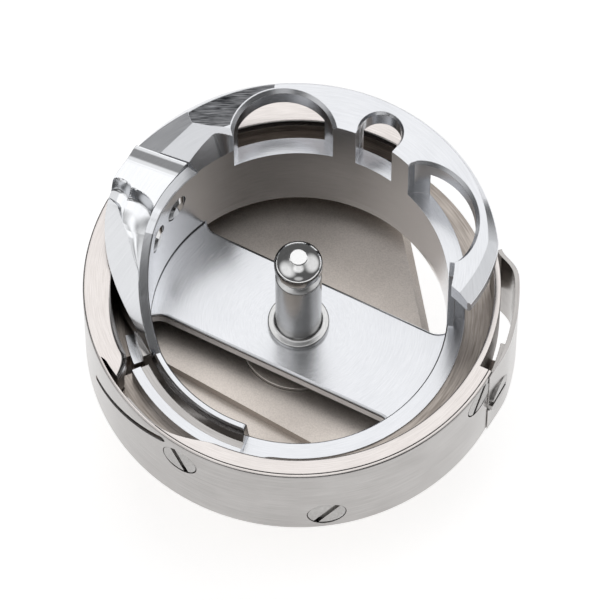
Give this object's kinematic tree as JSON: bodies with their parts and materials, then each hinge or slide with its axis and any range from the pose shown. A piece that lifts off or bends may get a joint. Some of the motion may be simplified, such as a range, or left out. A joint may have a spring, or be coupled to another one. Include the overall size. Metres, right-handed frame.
{
  "type": "sewing machine rotary hook with bobbin-case holder",
  "caption": "Rotary hook for an industrial lockstitch sewing machine: a hook body with a race, its screwed gib, and a freely turning bobbin-case holder with centre stud",
  "frame": {"origin": "centre of the hub's free end face, on the hook axis; the body's outline is centred on the axis", "axes": "+Z along the hook axis from the hub towards the open side of the holder; -Y towards the wall with the two front gib screws"},
  "size_m": [0.0344, 0.034, 0.0238],
  "materials": {
    "hook_steel": "polished, fine circular marks",
    "gib_steel": "ground flat",
    "holder_steel": "satin, bright edges",
    "matte_steel": "bead blasted",
    "screw_steel": "polished",
    "stud_steel": "polished head, satin shaft"
  },
  "bodies": {
    "hook": {"hook_body": "hook_steel", "hub": "matte_steel", "hub_set_screw_1": "screw_steel", "hub_set_screw_2": "screw_steel", "gib": "gib_steel", "gib_screw_1": "screw_steel", "gib_screw_2": "screw_steel", "gib_screw_3": "screw_steel", "guard_screw": "screw_steel", "needle_guard": "hook_steel"},
    "holder": {"basket": "holder_steel", "guide_finger": "holder_steel", "guide_rivet_1": "holder_steel", "guide_rivet_2": "holder_steel", "centre_stud": "stud_steel"}
  },
  "joints": [
    {"name": "holder_spin", "type": "hinge", "parent": "hook", "child": "holder", "pos_m": [0, 0, 0.0138], "axis": [0, 0, 1], "continuous": true}
  ]
}
